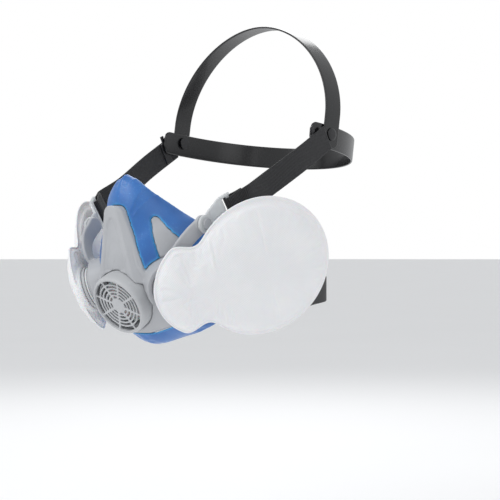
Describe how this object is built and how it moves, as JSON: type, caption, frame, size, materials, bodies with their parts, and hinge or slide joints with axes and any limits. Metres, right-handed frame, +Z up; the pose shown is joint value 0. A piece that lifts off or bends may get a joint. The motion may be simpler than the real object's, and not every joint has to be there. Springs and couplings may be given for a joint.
{
  "type": "half-mask respirator",
  "caption": "Half-mask respirator with a soft face seal, hard front moulding with a round exhalation valve, pear-shaped pad filters and a strapped head cradle.",
  "frame": {"origin": "centre of the opening that meets the wearer's face", "axes": "+Z up, the wearer faces -Y, +X towards the wearer's left; X=0 is the mirror plane"},
  "size_m": [0.2236, 0.2588, 0.256],
  "materials": {
    "seal_blue": "translucent satin",
    "hard_grey": "fine satin",
    "cover_grey": "fine satin",
    "silicone": "soft translucent",
    "filter_white": "embossed nonwoven",
    "buckle_clear": "frosted translucent",
    "webbing_black": "ribbed woven elastic",
    "cradle_black": "smooth gloss",
    "trim_black": "satin"
  },
  "bodies": {
    "facepiece": {"face_seal": "seal_blue", "inner_shell": "hard_grey", "front_yoke": "hard_grey", "exhalation_seat": "cover_grey", "inlet_port_left": "hard_grey", "inlet_port_right": "hard_grey", "port_gasket_left": "silicone", "port_gasket_right": "silicone"},
    "exhalation_flap": {"exhalation_flap": "silicone"},
    "exhalation_cover": {"exhalation_cover": "cover_grey"},
    "inhalation_flap_left": {"inhalation_flap_left": "silicone"},
    "inhalation_flap_right": {"inhalation_flap_right": "silicone"},
    "filter_left": {"filter_plug_left": "cover_grey", "filter_pad_left": "filter_white"},
    "filter_right": {"filter_plug_right": "cover_grey", "filter_pad_right": "filter_white"},
    "head_harness": {"upper_buckle_left": "buckle_clear", "upper_buckle_right": "buckle_clear", "upper_strap_left": "webbing_black", "upper_strap_right": "webbing_black", "rear_band": "cradle_black", "cradle_rivet_left": "trim_black", "cradle_rivet_right": "trim_black", "strap_keeper_left": "trim_black", "strap_keeper_right": "trim_black"},
    "crown": {"crown_band": "cradle_black"},
    "neck_harness": {"lower_buckle_left": "buckle_clear", "lower_buckle_right": "buckle_clear", "neck_strap_left": "webbing_black", "neck_strap_right": "webbing_black", "neck_clip_hook": "trim_black", "neck_clip_loop": "trim_black"},
    "neck_slider_left": {"neck_slider_left": "trim_black"},
    "neck_slider_right": {"neck_slider_right": "trim_black"}
  },
  "joints": [
    {"name": "filter_twist_left", "type": "hinge", "parent": "facepiece", "child": "filter_left", "pos_m": [0.0496, -0.0514, -0.0216], "axis": [0.8548, -0.4169, -0.309], "range_deg": [0, 45]},
    {"name": "filter_twist_right", "type": "hinge", "parent": "facepiece", "child": "filter_right", "pos_m": [-0.0496, -0.0514, -0.0216], "axis": [0.8548, 0.4169, 0.309], "range_deg": [0, 45]},
    {"name": "exhalation_cover_pull", "type": "slide", "parent": "facepiece", "child": "exhalation_cover", "axis": [0, -0.8746, -0.4848], "range_m": [0, 0.014]},
    {"name": "exhalation_flap_lift", "type": "slide", "parent": "facepiece", "child": "exhalation_flap", "axis": [0, -0.8746, -0.4848], "range_m": [0, 0.0012], "stiffness_N_per_m": 60, "springref_m": -0.001},
    {"name": "inhalation_flap_lift_left", "type": "slide", "parent": "facepiece", "child": "inhalation_flap_left", "axis": [-0.8548, 0.4169, 0.309], "range_m": [0, 0.0009], "stiffness_N_per_m": 60, "springref_m": -0.001},
    {"name": "inhalation_flap_lift_right", "type": "slide", "parent": "facepiece", "child": "inhalation_flap_right", "axis": [0.8548, 0.4169, 0.309], "range_m": [0, 0.0009], "stiffness_N_per_m": 60, "springref_m": -0.001},
    {"name": "head_harness_swing", "type": "hinge", "parent": "facepiece", "child": "head_harness", "pos_m": [0, -0.035, 0.028], "axis": [1, 0, 0], "range_deg": [-30, 50]},
    {"name": "crown_tilt", "type": "hinge", "parent": "head_harness", "child": "crown", "pos_m": [0, 0.0885, 0.1], "axis": [1, 0, 0], "range_deg": [-12, 12]},
    {"name": "neck_harness_swing", "type": "hinge", "parent": "facepiece", "child": "neck_harness", "pos_m": [0, 0.004, -0.036], "axis": [1, 0, 0], "range_deg": [-45, 20]},
    {"name": "neck_slider_slide_left", "type": "slide", "parent": "neck_harness", "child": "neck_slider_left", "axis": [0.131, 0.9827, 0.131], "range_m": [0, 0.01]},
    {"name": "neck_slider_slide_right", "type": "slide", "parent": "neck_harness", "child": "neck_slider_right", "axis": [-0.131, 0.9827, 0.131], "range_m": [0, 0.01]}
  ]
}
